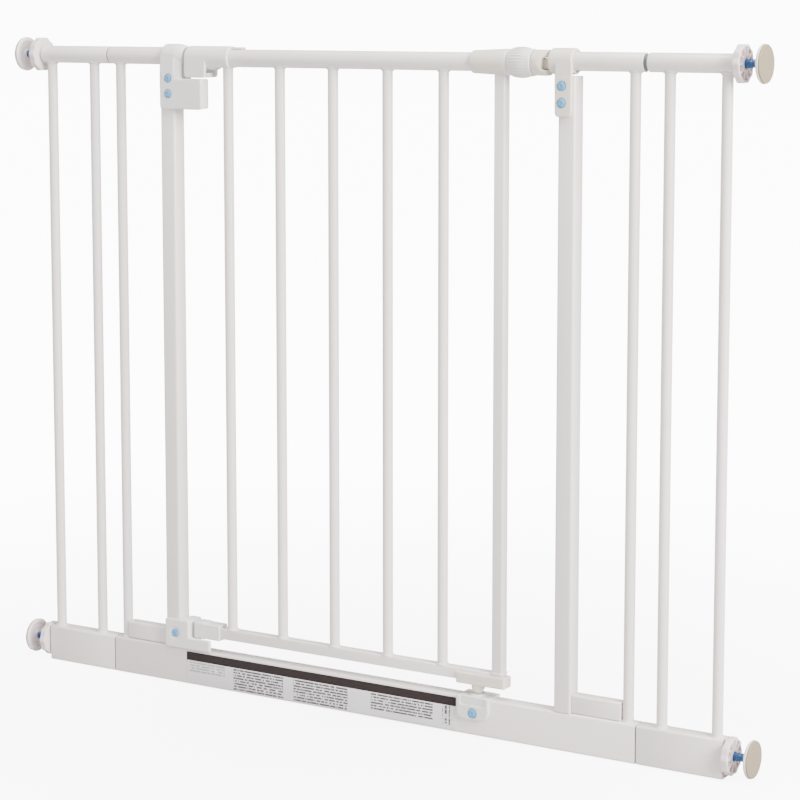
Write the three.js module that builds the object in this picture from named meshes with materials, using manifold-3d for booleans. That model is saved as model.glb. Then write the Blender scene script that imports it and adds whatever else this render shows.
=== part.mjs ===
// A pressure-mounted safety gate: a steel frame with a swinging door, two side extensions and four
// screw-out pads. Millimetres, +Z up, +X along the gate with the latch end at -X, the front facing -Y,
// and the floor at Z = 0.
import * as THREE from "three";
import { mergeVertices } from "three/addons/utils/BufferGeometryUtils.js";
import Module from "manifold-3d";

const wasm = await Module();
wasm.setup();

// ---- driving dimensions ----
const GAP = 0.3; // left between pieces that touch
const FRAME_HEIGHT = 737; // floor to the top of the frame's top tube
const TUBE_R = 10; // top tubes
const TUBE_BORE = 8.6;
const FRAME_Z = FRAME_HEIGHT - TUBE_R; // axis of the frame's top tubes
const DOOR_Z = 725.2; // axis of the door's top tube
const BAR_R = 5.75; // upright bars
const BAR_BORE = 4.75;
const RAIL_H = 42; // bottom rails
const RAIL_D = 20;
const RAIL_WALL = 1.5;
const RAIL_Z = RAIL_H / 2;
const POST_X = 254.6;
const POST_SIZE = 20;
const POST_TOP = 712;
const UPPER_RAIL_H = 20; // short rails above the bottom rail, outside the posts
const UPPER_RAIL_D = 15;
const FRAME_BAR_X = 328;
const JOINT_X = 340; // where an extension plugs into the frame
const RIGHT_JOINT_GAP = 4.5;
const LEFT_JOINT_GAP = 1;
const EXT_BAR_INNER_X = 366.3;
const EXT_BAR_OUTER_X = 428.7;
const EXT_END_X = 438.5;
const PLUG_LENGTH = 18;

const PAD_LOW_Z = 24; // axis of the lower spindles
const SPINDLE_R = 4.8;
const SPINDLE_IN_X = 385;
const WHEEL_IN_X = 440.6;
const WHEEL_T = 7.7;
const WHEEL_R = 20;
const WHEEL_LOBES = 10;
const LOBE_DEPTH = 0.5;
const HUB_R = 8;
const PAD_R = 20;
const PAD_BACK_X = 465;
const PAD_FACE_X = 470; // the plane that meets the wall
const CUP_T = 3;

const DOOR_BAR_COUNT = 5;
const DOOR_BAR_X = -176.7;
const DOOR_BAR_PITCH = 69.93;
const STILE_X = 173.7;
const DOOR_SQUARE = 12.5; // stile and bottom rail of the door
const DOOR_RAIL_Z = 58.5; // underside of the door's bottom rail
const DOOR_RAIL_LEFT = -218;
const DOOR_TUBE_LEFT = -226;
const DOOR_TUBE_RIGHT = 184;

const PIN_X = 218.5; // upper pivot of the door
const PIN_R = 1.75;
const TONGUE_R = 4;
const TONGUE_HALF = 5.5;
const CLEVIS_R = 13.7;
const CLEVIS_LEFT = 212.7;
const CLEVIS_RIGHT = 231;
const SLOT_LEFT = 214.2;
const SLOT_HALF = 6;
const BALL_X = 148; // lower pivot of the door
const BALL_Z = 50.5;
const BALL_R = 6.4;
const KNOB_LEFT = 185.4;
const KNOB_RIGHT = 212.4;

const CLIP_R = 13.5; // plastic barrels on the frame's top tubes
const CLIP_OUTER_X = 261.5;
const CLIP_FRONT = -14.5;
const CAP_R = 4.4; // blue screw caps
const CAP_X = 250.5;
const CAP_ZS = [702, 684.5];
const HANDLE_R = 13.3;

const LEAN = Math.atan2(PIN_X - BALL_X, DOOR_Z - BALL_Z); // of the hinge axis, towards +X at the top

// ---- materials ----
const paint = new THREE.MeshStandardMaterial({ name: "white_paint", color: 0xf2f1ef, roughness: 0.4 });
const plastic = new THREE.MeshStandardMaterial({ name: "white_plastic", color: 0xece8e1, roughness: 0.5 });
const blue = new THREE.MeshStandardMaterial({ name: "blue_plastic", color: 0x8fbfe0, roughness: 0.5 });
const steel = new THREE.MeshStandardMaterial({ name: "blue_spindle", color: 0x2f6fae, roughness: 0.45 });
const tan = new THREE.MeshStandardMaterial({ name: "tan_rubber", color: 0xb9ab98, roughness: 0.9 });
const film = new THREE.MeshStandardMaterial({ name: "label_film", color: 0xdcd6d6, roughness: 0.6 });

const gate = new THREE.Group();
gate.name = "safety_gate";

// ---- solids ----

// A three.js geometry as a solid: vertices joined, collapsed triangles dropped.
function solid(geometry) {
  const flat = geometry.index ? geometry.toNonIndexed() : geometry;
  const bare = new THREE.BufferGeometry();
  bare.setAttribute("position", flat.getAttribute("position"));
  const merged = mergeVertices(bare, 1e-4);
  const corners = merged.index.array;
  const kept = [];
  for (let i = 0; i < corners.length; i += 3) {
    const [a, b, c] = [corners[i], corners[i + 1], corners[i + 2]];
    if (a !== b && b !== c && a !== c) kept.push(a, b, c);
  }
  const vertProperties = merged.attributes.position.array;
  return new wasm.Manifold(new wasm.Mesh({ numProp: 3, vertProperties, triVerts: new Uint32Array(kept) }));
}

function join(...bodies) {
  return bodies.reduce((a, b) => a.add(b));
}

function cut(body, ...tools) {
  return tools.reduce((a, b) => a.subtract(b), body);
}

// Adds a solid to the gate as a named mesh.
function part(name, body, material) {
  const made = body.getMesh();
  const geometry = new THREE.BufferGeometry();
  const at = new Float32Array(made.numVert * 3);
  for (let i = 0; i < made.numVert; i++) {
    at.set(made.vertProperties.subarray(i * made.numProp, i * made.numProp + 3), i * 3);
  }
  geometry.setAttribute("position", new THREE.BufferAttribute(at, 3));
  geometry.setIndex(new THREE.BufferAttribute(made.triVerts, 1));
  geometry.computeVertexNormals();
  const mesh = new THREE.Mesh(geometry, material);
  mesh.name = name;
  gate.add(mesh);
}

// ---- turned shapes: a profile of [radius, distance] pairs, turned about X, Y or Z ----

function turned(profile, segments) {
  return new THREE.LatheGeometry(profile.map(([r, d]) => new THREE.Vector2(r, d)), segments);
}

function aboutX(profile, y, z, segments = 24) {
  return solid(turned(profile, segments).rotateZ(-Math.PI / 2).translate(0, y, z));
}

function aboutZ(profile, x, y, segments = 16) {
  return solid(turned(profile, segments).rotateX(Math.PI / 2).translate(x, y, 0));
}

function aboutY(profile, x, z, segments = 16) {
  return solid(turned(profile, segments).translate(x, 0, z));
}

// A shape made upright at the origin, moved onto the hinge axis at the height of the upper pivot.
function onHinge(geometry) {
  return solid(geometry.rotateY(LEAN).translate(PIN_X, 0, DOOR_Z));
}

function ring(outer, inner, from, to) {
  return [[inner, from], [outer, from], [outer, to], [inner, to], [inner, from]];
}

function disc(radius, from, to) {
  return [[0, from], [radius, from], [radius, to], [0, to]];
}

// ---- boxes and extruded sections ----

function box(x0, x1, y0, y1, z0, z1) {
  const made = new THREE.BoxGeometry(x1 - x0, y1 - y0, z1 - z0);
  return solid(made.translate((x0 + x1) / 2, (y0 + y1) / 2, (z0 + z1) / 2));
}

function roundedOutline(path, x0, y0, x1, y1, r) {
  path.moveTo(x0 + r, y0);
  path.lineTo(x1 - r, y0);
  path.absarc(x1 - r, y0 + r, r, -Math.PI / 2, 0);
  path.lineTo(x1, y1 - r);
  path.absarc(x1 - r, y1 - r, r, 0, Math.PI / 2);
  path.lineTo(x0 + r, y1);
  path.absarc(x0 + r, y1 - r, r, Math.PI / 2, Math.PI);
  path.lineTo(x0, y0 + r);
  path.absarc(x0 + r, y0 + r, r, Math.PI, 1.5 * Math.PI);
  return path;
}

function section(width, depth, r, wall) {
  const outline = roundedOutline(new THREE.Shape(), -width / 2, -depth / 2, width / 2, depth / 2, r);
  if (wall) {
    const [w, d] = [width / 2 - wall, depth / 2 - wall];
    outline.holes.push(roundedOutline(new THREE.Path(), -w, -d, w, d, Math.max(r - wall, 0.5)));
  }
  return outline;
}

function extruded(shape, length) {
  return new THREE.ExtrudeGeometry(shape, { depth: length, bevelEnabled: false, curveSegments: 3 });
}

// A section standing upright.
function upright(shape, x, z0, z1) {
  return solid(extruded(shape, z1 - z0).translate(x, 0, z0));
}

// A section lying along X: its first size becomes the height.
function lying(shape, x0, x1, z) {
  return solid(extruded(shape, x1 - x0).rotateY(Math.PI / 2).translate(x0, 0, z));
}

// A rounded plate seen from the front, between two depths.
function plate(x0, x1, z0, z1, r, yFront, yBack) {
  const outline = roundedOutline(new THREE.Shape(), x0, z0, x1, z1, r);
  return solid(extruded(outline, yBack - yFront).rotateX(Math.PI / 2).translate(0, yBack, 0));
}

// A rounded block seen from above, between two heights.
function slab(x0, x1, y0, y1, r, z0, z1) {
  const outline = roundedOutline(new THREE.Shape(), x0, y0, x1, y1, r);
  return solid(extruded(outline, z1 - z0).translate(0, 0, z0));
}

// ---- shared pieces ----

function topTube(x0, x1, z) {
  return aboutX(ring(TUBE_R, TUBE_BORE, x0, x1), 0, z);
}

// An upright round bar whose top is shaped to sit under a top tube.
function bar(x, z0, tubeZ) {
  const stock = aboutZ(ring(BAR_R, BAR_BORE, z0, tubeZ - 5), x, 0);
  return cut(stock, aboutX(disc(TUBE_R + GAP, x - 9, x + 9), 0, tubeZ));
}

function screwCap(name, x, z, front) {
  part(name, aboutY(disc(CAP_R, front, front + 0.9), x, z), blue);
}

function capRecess(x, z, front) {
  return aboutY(disc(CAP_R + GAP, front - 2, front + 1.2), x, z);
}

// ---- the fixed frame ----

function frame() {
  const rail = section(RAIL_H, RAIL_D, 3, RAIL_WALL);
  part("bottom_rail", lying(rail, -JOINT_X, JOINT_X, RAIL_Z), paint);
  for (const [side, s] of [["left", -1], ["right", 1]]) {
    const post = section(POST_SIZE, POST_SIZE, 3, 1.5);
    part(side + "_post", upright(post, s * POST_X, RAIL_H + GAP, POST_TOP), paint);
    const inner = POST_X + POST_SIZE / 2 + GAP;
    const outer = FRAME_BAR_X - BAR_R - GAP;
    const short = section(UPPER_RAIL_H, UPPER_RAIL_D, 2.5, 1.5);
    const z = RAIL_H + GAP + UPPER_RAIL_H / 2;
    part(side + "_upper_rail", lying(short, s > 0 ? inner : -outer, s > 0 ? outer : -inner, z), paint);
    part(side + "_frame_bar", bar(s * FRAME_BAR_X, RAIL_H + GAP, FRAME_Z), paint);
    const [a, b] = [CLIP_OUTER_X - 22, JOINT_X];
    part(side + "_top_tube", topTube(s > 0 ? a : -b, s > 0 ? b : -a, FRAME_Z), paint);
  }
  part("label", box(-235, 126, -10.55, -10 - GAP, 3, 39), film);
}

// A barrel round the end of a top tube, closed towards the door, with rounded rims.
function clipBarrel(doorEnd, s) {
  const from = s > 0 ? doorEnd : -CLIP_OUTER_X;
  const to = s > 0 ? CLIP_OUTER_X : doorEnd;
  const profile = [[0, from], [CLIP_R - 1.5, from], [CLIP_R, from + 1.5], [CLIP_R, to - 1.5]];
  profile.push([CLIP_R - 1.5, to], [0, to]);
  const bore = disc(TUBE_R + GAP, s > 0 ? doorEnd + 4.5 : -300, s > 0 ? 300 : doorEnd - 4.5);
  return { barrel: aboutX(profile, 0, FRAME_Z), bore: aboutX(bore, 0, FRAME_Z) };
}

function latchHousing() {
  const { barrel, bore } = clipBarrel(-232.5, -1);
  const strap = plate(-262, -242.5, 667, FRAME_Z, 3, CLIP_FRONT, -10 - GAP);
  const block = plate(-260, -204, 667, 701.5, 4, CLIP_FRONT, -10 - GAP);
  const body = slab(-POST_X + 10 + GAP, -204, CLIP_FRONT, 1.5, 3, 668, 701.5);
  const keeper = box(-231, -208, -10, -2.5, 697, 705);
  const recesses = CAP_ZS.map((z) => capRecess(-CAP_X, z, CLIP_FRONT));
  part("latch_housing", cut(join(barrel, strap, block, body), bore, keeper, ...recesses), plastic);
  CAP_ZS.forEach((z, i) => screwCap("latch_screw_cap_" + (i + 1), -CAP_X, z, CLIP_FRONT + 0.2));
}

function hingeClip() {
  const { barrel, bore } = clipBarrel(233.6, 1);
  const strap = plate(242.5, 262, 670, FRAME_Z, 3, CLIP_FRONT, -10 - GAP);
  const stem = onHinge(new THREE.BoxGeometry(17, 2 * TONGUE_R, 2 * TONGUE_HALF).translate(8.5, 0, 0));
  const eye = onHinge(turned(disc(TONGUE_R, -TONGUE_HALF, TONGUE_HALF), 24).rotateX(Math.PI / 2));
  const hole = onHinge(turned(disc(PIN_R + 0.12, -9, 9), 24).rotateX(Math.PI / 2));
  const recesses = CAP_ZS.map((z) => capRecess(CAP_X, z, CLIP_FRONT));
  part("hinge_clip", cut(join(barrel, strap, stem, eye), bore, hole, ...recesses), plastic);
  CAP_ZS.forEach((z, i) => screwCap("hinge_screw_cap_" + (i + 1), CAP_X, z, CLIP_FRONT + 0.2));
}

function catchBracket() {
  const front = -14;
  const face = plate(-263.5, -230, RAIL_H + GAP, 76, 3, front, -10 - GAP);
  const body = slab(-POST_X + 10 + GAP, -230, front, 13, 2, RAIL_H + GAP, 74);
  const stop = slab(-236, -200.6, front, -8.9, 1.5, RAIL_H + GAP, 56);
  const made = cut(join(face, body, stop), capRecess(-249.5, 59.4, front));
  part("catch_bracket", made, plastic);
  screwCap("catch_screw_cap", -249.5, 59.4, front + 0.2);
}

function hingeSocket() {
  const front = -14;
  const face = plate(BALL_X - 20, BALL_X + 20, 18, 44, 12.5, front, -10 - GAP);
  const back = plate(BALL_X - 20, BALL_X + 20, 20, 44, 6, 10 + GAP, 14);
  const top = box(BALL_X - 20, BALL_X + 20, front + 1, 13, RAIL_H + GAP, 44);
  const squareUp = box(BALL_X - 20, BALL_X + 20, front, -10 - GAP, 31, 44);
  const collar = aboutZ(disc(9, 43, 45), BALL_X, 0, 24);
  const cup = solid(new THREE.SphereGeometry(BALL_R + 0.4, 20, 12).translate(BALL_X, 0, BALL_Z));
  const made = cut(join(face, squareUp, back, top, collar), cup, capRecess(BALL_X, 25.5, front));
  part("hinge_socket", made, plastic);
  screwCap("socket_screw_cap", BALL_X, 25.5, front + 0.2);
}

// ---- side extensions ----

// The plate that closes a rail's outer end, with the spindle's hole.
function railEnd(ends) {
  const hole = aboutX(disc(SPINDLE_R + 0.5, ends[0] - 5, ends[1] + 5), 0, PAD_LOW_Z);
  return cut(lying(section(RAIL_H - 1, RAIL_D - 1, 2.5, 0), ...ends, RAIL_Z), hole);
}

function extension(side, s, gap) {
  const start = JOINT_X + gap;
  const plug = JOINT_X - PLUG_LENGTH;
  const profile = [[7.2, plug], [8.3, plug], [8.3, start], [TUBE_R, start], [TUBE_R, EXT_END_X]];
  profile.push([TUBE_BORE, EXT_END_X], [TUBE_BORE, start + 6], [7.2, start + 6], [7.2, plug]);
  const mirrored = profile.map(([r, d]) => [r, -d]).reverse();
  part(side + "_extension_top_tube", aboutX(s > 0 ? profile : mirrored, 0, FRAME_Z), paint);
  const span = (a, b) => (s > 0 ? [a, b] : [-b, -a]);
  const rail = section(RAIL_H, RAIL_D, 3, RAIL_WALL);
  const thick = section(RAIL_H - 1, RAIL_D - 1, 2.5, 3);
  const insert = section(RAIL_H - 3.8, RAIL_D - 3.8, 1.5, 1.6);
  const joint = JOINT_X + 0.6;
  const made = join(
    lying(rail, ...span(joint, EXT_END_X), RAIL_Z),
    lying(thick, ...span(joint + 0.2, joint + 6), RAIL_Z),
    lying(insert, ...span(plug, joint + 5), RAIL_Z),
    railEnd(span(EXT_END_X - 1.6, EXT_END_X)),
  );
  part(side + "_extension_bottom_rail", made, paint);
  part(side + "_extension_inner_bar", bar(s * EXT_BAR_INNER_X, RAIL_H + GAP, FRAME_Z), paint);
  part(side + "_extension_outer_bar", bar(s * EXT_BAR_OUTER_X, RAIL_H + GAP, FRAME_Z), paint);
}

// ---- screw-out corners ----

function wheelSolid(s, z) {
  const outline = new THREE.Shape();
  const steps = WHEEL_LOBES * 6;
  for (let i = 0; i < steps; i++) {
    const a = (2 * Math.PI * i) / steps;
    const r = WHEEL_R + LOBE_DEPTH * (Math.cos(WHEEL_LOBES * a) - 1);
    const point = [r * Math.cos(a), r * Math.sin(a)];
    if (i) outline.lineTo(...point);
    else outline.moveTo(...point);
  }
  const outer = s * (WHEEL_IN_X + WHEEL_T);
  const from = s > 0 ? WHEEL_IN_X : -WHEEL_IN_X - WHEEL_T;
  const rim = lying(outline, from, from + WHEEL_T, z);
  const hub = s > 0 ? [EXT_END_X + 0.5, WHEEL_IN_X + 1] : [-WHEEL_IN_X - 1, -EXT_END_X - 0.5];
  const tools = [aboutX(disc(SPINDLE_R + 0.15, Math.min(-500 * -s, 400 * s), Math.max(500 * s, 400 * s)), 0, z)];
  for (let i = 0; i < WHEEL_LOBES; i++) {
    const a = (2 * Math.PI * i) / WHEEL_LOBES;
    const [y, dz] = [13.2 * Math.cos(a), 13.2 * Math.sin(a)];
    const depth = s > 0 ? [outer - 4, outer + 2] : [outer - 2, outer + 4];
    tools.push(aboutX(disc(3.4, ...depth), y, z + dz, 10));
  }
  return cut(join(rim, aboutX(disc(HUB_R, ...hub), 0, z)), ...tools);
}

function corner(name, s, z) {
  const span = (a, b) => (s > 0 ? [a, b] : [-b, -a]);
  part(name + "_wheel", wheelSolid(s, z), plastic);
  part(name + "_spindle", aboutX(disc(SPINDLE_R, ...span(SPINDLE_IN_X, PAD_BACK_X - GAP)), 0, z), steel);
  part(name + "_pad_cup", aboutX(disc(PAD_R, ...span(PAD_BACK_X, PAD_BACK_X + CUP_T)), 0, z), plastic);
  const face = disc(PAD_R - 0.5, ...span(PAD_BACK_X + CUP_T + GAP, PAD_FACE_X));
  part(name + "_pad_face", aboutX(face, 0, z), tan);
}

// ---- the door ----

function door() {
  part("door_top_tube", topTube(DOOR_TUBE_LEFT, DOOR_TUBE_RIGHT, DOOR_Z), paint);
  const railTop = DOOR_RAIL_Z + DOOR_SQUARE;
  const square = section(DOOR_SQUARE, DOOR_SQUARE, 1.5, 1.2);
  const right = STILE_X + DOOR_SQUARE / 2;
  part("door_bottom_rail", lying(square, DOOR_RAIL_LEFT, right, (DOOR_RAIL_Z + railTop) / 2), paint);
  for (let i = 0; i < DOOR_BAR_COUNT; i++) {
    part("door_bar_" + (i + 1), bar(DOOR_BAR_X + i * DOOR_BAR_PITCH, railTop + GAP, DOOR_Z), paint);
  }
  const stile = upright(square, STILE_X, railTop + GAP, DOOR_Z - 5);
  const saddle = aboutX(disc(TUBE_R + GAP, STILE_X - 9, STILE_X + 9), 0, DOOR_Z);
  part("door_stile", cut(stile, saddle), paint);
  const half = DOOR_SQUARE / 2 + GAP;
  const cap = slab(-226.8, -189.5, -8.5, 8.5, 3, 55.5, 75);
  const socket = box(DOOR_RAIL_LEFT - GAP, -180, -half, half, DOOR_RAIL_Z - GAP, railTop + GAP);
  part("door_end_cap", cut(cap, socket), plastic);
  const foot = slab(123.5, 184.4, -8.5, 8.5, 4, 55, 67.5);
  const channel = box(100, right + GAP, -half, half, DOOR_RAIL_Z - GAP, 80);
  const stub = aboutZ(disc(BALL_R + 1, BALL_Z - 0.7, 56), BALL_X, 0, 24);
  const ball = solid(new THREE.SphereGeometry(BALL_R, 20, 12).translate(BALL_X, 0, BALL_Z));
  part("door_foot_cap", join(cut(foot, channel), stub, ball), plastic);
  const collar = [[TUBE_R + GAP, 140.4], [12.2, 140.4], [12.8, 155], [14, 182], [13.4, 185], [TUBE_R + GAP, 185]];
  const saddleCut = box(STILE_X - 6.55, STILE_X + 6.55, -6.55, 6.55, 700, DOOR_Z);
  const closed = [...collar, collar[0]];
  part("hinge_collar", cut(aboutX(closed, 0, DOOR_Z), saddleCut), plastic);
}

function hingeHead() {
  const shank = aboutX(disc(8, 160, CLEVIS_LEFT + 0.5), 0, DOOR_Z);
  const head = aboutX(disc(CLEVIS_R, CLEVIS_LEFT, CLEVIS_RIGHT + 3), 0, DOOR_Z);
  const rounder = onHinge(turned(disc(CLEVIS_R - 0.1, -20, 20), 40).rotateX(Math.PI / 2));
  const behind = box(CLEVIS_LEFT - 1, PIN_X, -20, 20, DOOR_Z - 20, DOOR_Z + 20);
  const rounded = head.intersect(join(rounder, behind));
  const slotLeft = SLOT_LEFT - PIN_X;
  const back = new THREE.BoxGeometry(30, 24.3, 2 * SLOT_HALF).translate(15 + slotLeft, 7.85, 0);
  const front = box(225, 240, -20, 0, DOOR_Z - 7.8, DOOR_Z + 7.8);
  const hole = onHinge(turned(disc(PIN_R + 0.3, -11, 20), 24).rotateX(Math.PI / 2));
  part("hinge_clevis", cut(join(shank, rounded), onHinge(back), front, hole), plastic);
  const pin = onHinge(turned(disc(PIN_R, -10.5, 11.5), 24).rotateX(Math.PI / 2));
  part("hinge_pin", pin, steel);
  const knob = [[8.3, KNOB_LEFT], [14.2, KNOB_LEFT], [16, 191], [16.4, 199], [15.4, 206], [14.2, KNOB_RIGHT]];
  knob.push([8.3, KNOB_RIGHT], [8.3, KNOB_LEFT]);
  part("adjusting_knob", aboutX(knob, 0, DOOR_Z, 32), plastic);
}

function handle() {
  const sleeve = aboutX(ring(HANDLE_R, TUBE_R + GAP, -228.7, -169.5), 0, DOOR_Z);
  const flap = plate(-228.7, -199.7, 703, DOOR_Z, 2, -HANDLE_R, -10.6);
  const rearFlap = plate(-228.7, -199.7, 703, DOOR_Z, 2, 10.6, HANDLE_R);
  const ridge = box(-171, -154, -4, 4, DOOR_Z + TUBE_R + GAP, DOOR_Z + TUBE_R + 2.2);
  const slot = box(-202, -150, -7.5, 7.5, 700, DOOR_Z - 3);
  part("handle_sleeve", cut(join(sleeve, flap, rearFlap, ridge), slot), plastic);
  part("release_button", slab(-210.5, -198.5, -8.5, 1.5, 2, 703.2, 708.6), plastic);
}

frame();
latchHousing();
hingeClip();
catchBracket();
hingeSocket();
extension("left", -1, LEFT_JOINT_GAP);
extension("right", 1, RIGHT_JOINT_GAP);
corner("left_top", -1, FRAME_Z);
corner("left_bottom", -1, PAD_LOW_Z);
corner("right_top", 1, FRAME_Z);
corner("right_bottom", 1, PAD_LOW_Z);
door();
hingeHead();
handle();

export default gate;
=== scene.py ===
# %% [markdown]
# # A safety gate, piece by piece
# A pressure-mounted gate is a steel frame held between two walls by four screw-out pads. A door swings in it.
# The steel is powder coated. The latch, the hinge and the corner wheels are moulded plastic.
# The CAD model is loaded first. Each piece below takes the place of its CAD node and rides on that node's body.

# %% Load the frame, with two small helpers
import math

import bmesh
import bpy
from mathutils import Matrix, Vector


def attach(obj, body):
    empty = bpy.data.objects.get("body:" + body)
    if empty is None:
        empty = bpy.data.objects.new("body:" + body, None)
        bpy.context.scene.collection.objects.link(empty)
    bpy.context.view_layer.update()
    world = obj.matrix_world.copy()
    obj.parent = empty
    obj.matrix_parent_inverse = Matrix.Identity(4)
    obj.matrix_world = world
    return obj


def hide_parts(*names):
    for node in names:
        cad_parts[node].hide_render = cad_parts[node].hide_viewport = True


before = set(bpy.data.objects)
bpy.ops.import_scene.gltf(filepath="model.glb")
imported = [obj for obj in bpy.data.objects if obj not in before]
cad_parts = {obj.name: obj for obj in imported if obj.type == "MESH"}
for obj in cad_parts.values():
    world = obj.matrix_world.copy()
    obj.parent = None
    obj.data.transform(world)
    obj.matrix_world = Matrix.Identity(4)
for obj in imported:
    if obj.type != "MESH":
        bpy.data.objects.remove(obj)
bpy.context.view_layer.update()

MM = 0.001


def stand(name, data):
    """Puts an object with this data into the scene."""
    made = bpy.data.objects.new(name, data)
    bpy.context.scene.collection.objects.link(made)
    return made


def round_angles(count):
    """Angles that divide a full circle evenly."""
    return [2 * math.pi * i / count for i in range(count)]


# %% [markdown]
# ## Sizes
# Every length is in millimetres here, because that is how a gate is drawn. The mesh helpers turn them
# into metres. The left half of the gate mirrors the right half, so most places are given once.

# %% Sizes of the real gate
TUBE_R = 10.0
TUBE_BORE = 8.6
TUBE_HOLE = 10.35  # the hole in a moulding that a top tube passes through
FRAME_Z = 727.0
DOOR_Z = 725.2
BAR_R = 5.75
BAR_BORE = 4.75
RAIL_H = 42.0
RAIL_Z = RAIL_H / 2
POST_X = 254.6
POST_SIZE = 20
POST_ENDS = (42.2, 712)
UPPER_RAIL = (264.9, 321.95)
RAIL_PLUG = (322, 348)
FRAME_BAR_X = 328.0
JOINT_X = 340.0
EXT_BARS = (366.3, 428.7)
EXT_END = 438.5
DOOR_BARS = [-176.7 + 69.93 * i for i in range(5)]
STILE_X = 173.7
PAD_LOW_Z = 24.0
DOOR_RAIL = (58.5, 71.0)
DOOR_TUBE = 12.5
PIN_X = 218.5
BALL = (148.0, 0.0, 50.5)
PLATE = (-14.6, -9.9)  # the front and back of the upper plates
BRACKET = (-14.1, -9.9)  # and of the lower ones
LATCH_CAPS = [(-250.5, 702.0), (-250.5, 684.5)]
HINGE_CAPS = [(250.5, 702.0), (250.5, 684.5)]
CATCH_CAP = (-249.5, 59.4)
SOCKET_CAP = (148.0, 25.5)
LEAN = math.atan2(PIN_X - BALL[0], DOOR_Z - BALL[2])
SIDES = (("left", -1), ("right", 1))


def mirrored(s, start, end):
    """A stretch along the gate, on the right for s = 1 and on the left for s = -1, low end first."""
    return sorted((s * start, s * end))


print("the hinge axis leans", round(math.degrees(LEAN), 2), "degrees")

# %% [markdown]
# ## Camera
# The camera stands to the right of the gate, a little above it, and looks slightly down.
# A long lens keeps the rails nearly parallel. A small vertical shift lets the camera tilt less, so the
# uprights stay nearly parallel too, as on a product camera with a shifted lens.

# %% Camera
CAMERA_PLACE = (1.3921, -2.2021, 0.7853)  # metres
CAMERA_TILT = 6.842  # degrees below level
CAMERA_TURN = 31.384  # degrees from straight on
LENS = 108.0
SHIFT_Y = -0.135

camera = stand("camera", bpy.data.cameras.new("camera"))
camera.location = CAMERA_PLACE
camera.rotation_euler = (math.radians(90 - CAMERA_TILT), 0, math.radians(CAMERA_TURN))
camera.data.lens = LENS
camera.data.sensor_width = 36
camera.data.shift_y = SHIFT_Y
camera.data.clip_end = 50
bpy.context.scene.camera = camera
print("camera at", tuple(round(v, 3) for v in camera.location))

# %% [markdown]
# ## Shader maths
# A material is a small sum of noises. Writing it with + and * is easier to read than a list of nodes, so
# `Wire` wraps one socket and gives it Python's operators. Numbers go through Math nodes. Colours go through
# a Mix node, because a Math node would turn them grey.

# %% A socket that can be added and multiplied


class Wire:
    """One output socket of a material's node tree."""

    def __init__(self, tree, socket=None):
        self.tree = tree
        self.socket = socket

    def node(self, kind, settings=None, sockets=None, out=0):
        """Makes a node: its settings first, then the values or links of its sockets."""
        made = self.tree.nodes.new(kind)
        for key, value in (settings or {}).items():
            setattr(made, key, value)
        for key, value in (sockets or {}).items():
            if isinstance(value, Wire):
                self.tree.links.new(value.socket, made.inputs[key])
            else:
                made.inputs[key].default_value = value
        return Wire(self.tree, made.outputs[out] if made.outputs else None)

    def maths(self, operation, other=0.0):
        return self.node("ShaderNodeMath", {"operation": operation}, {0: self, 1: other})

    def __add__(self, other):
        return self.maths("ADD", other)

    __radd__ = __add__

    def __mul__(self, other):
        return self.maths("MULTIPLY", other)

    __rmul__ = __mul__

    def __sub__(self, other):
        return self.maths("SUBTRACT", other)

    def __rsub__(self, other):
        return self.node("ShaderNodeMath", {"operation": "SUBTRACT"}, {0: other, 1: self})

    def __truediv__(self, other):
        return self.maths("DIVIDE", other)

    def __gt__(self, other):
        return self.maths("GREATER_THAN", other)

    def __lt__(self, other):
        return self.maths("LESS_THAN", other)

    def fraction(self):
        return self.maths("FRACT")

    def whole(self):
        return self.maths("FLOOR")

    def blend(self, first, second):
        """The first colour where this is 0 and the second where it is 1."""
        return self.node("ShaderNodeMix", {"data_type": "RGBA"}, {0: self, 6: first, 7: second}, out=2)


class Finish:
    """A material being made: where its surface lies, noises on it, and its shader."""

    def __init__(self, name):
        self.material = bpy.data.materials.new(name)
        self.material.use_nodes = True
        self.tree = self.material.node_tree
        self.tree.nodes.clear()
        self.node = Wire(self.tree).node
        self.place = self.node("ShaderNodeTexCoord", out=3)

    def noise(self, size_mm, detail=3.0, stretch=(1, 1, 1)):
        """Noise from 0 to 1 whose blotches are about this many millimetres across."""
        scaled = self.node("ShaderNodeMapping", None, {"Vector": self.place, "Scale": stretch})
        return self.node(
            "ShaderNodeTexNoise", None, {"Vector": scaled, "Scale": 1.0 / (size_mm * MM), "Detail": detail}
        )

    def axis(self, index):
        """The distance along X, Y or Z in millimetres."""
        return self.node("ShaderNodeSeparateXYZ", None, {0: self.place}, out=index) * 1000.0

    def bump(self, height, depth_mm, strength=1.0):
        return self.node(
            "ShaderNodeBump", None, {"Height": height, "Distance": depth_mm * MM, "Strength": strength}
        )

    def shade(self, colour, roughness, normal=None, **fixed):
        """Ends the material in a Principled shader. The values in fixed are set on its own sockets."""
        sockets = {"Base Color": colour, "Roughness": roughness}
        if normal is not None:
            sockets["Normal"] = normal
        sockets.update({name.replace("_", " "): value for name, value in fixed.items()})
        shader = self.node("ShaderNodeBsdfPrincipled", None, sockets)
        self.node("ShaderNodeOutputMaterial", None, {"Surface": shader})
        return self.material


def rgb(r, g, b):
    return (r, g, b, 1.0)


print("operators ready")

# %% [markdown]
# ## Finishes
# Powder coat is sprayed dry and baked, so it dries to a fine orange peel with faint cloudy patches.
# Moulded plastic has a spark-eroded grain a few tenths of a millimetre across, a little uneven in gloss.
# Rubber is duller, with a pebbled face that grips the wall. Each one is a base colour and two or three noises.

# %% Powder coat


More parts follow.
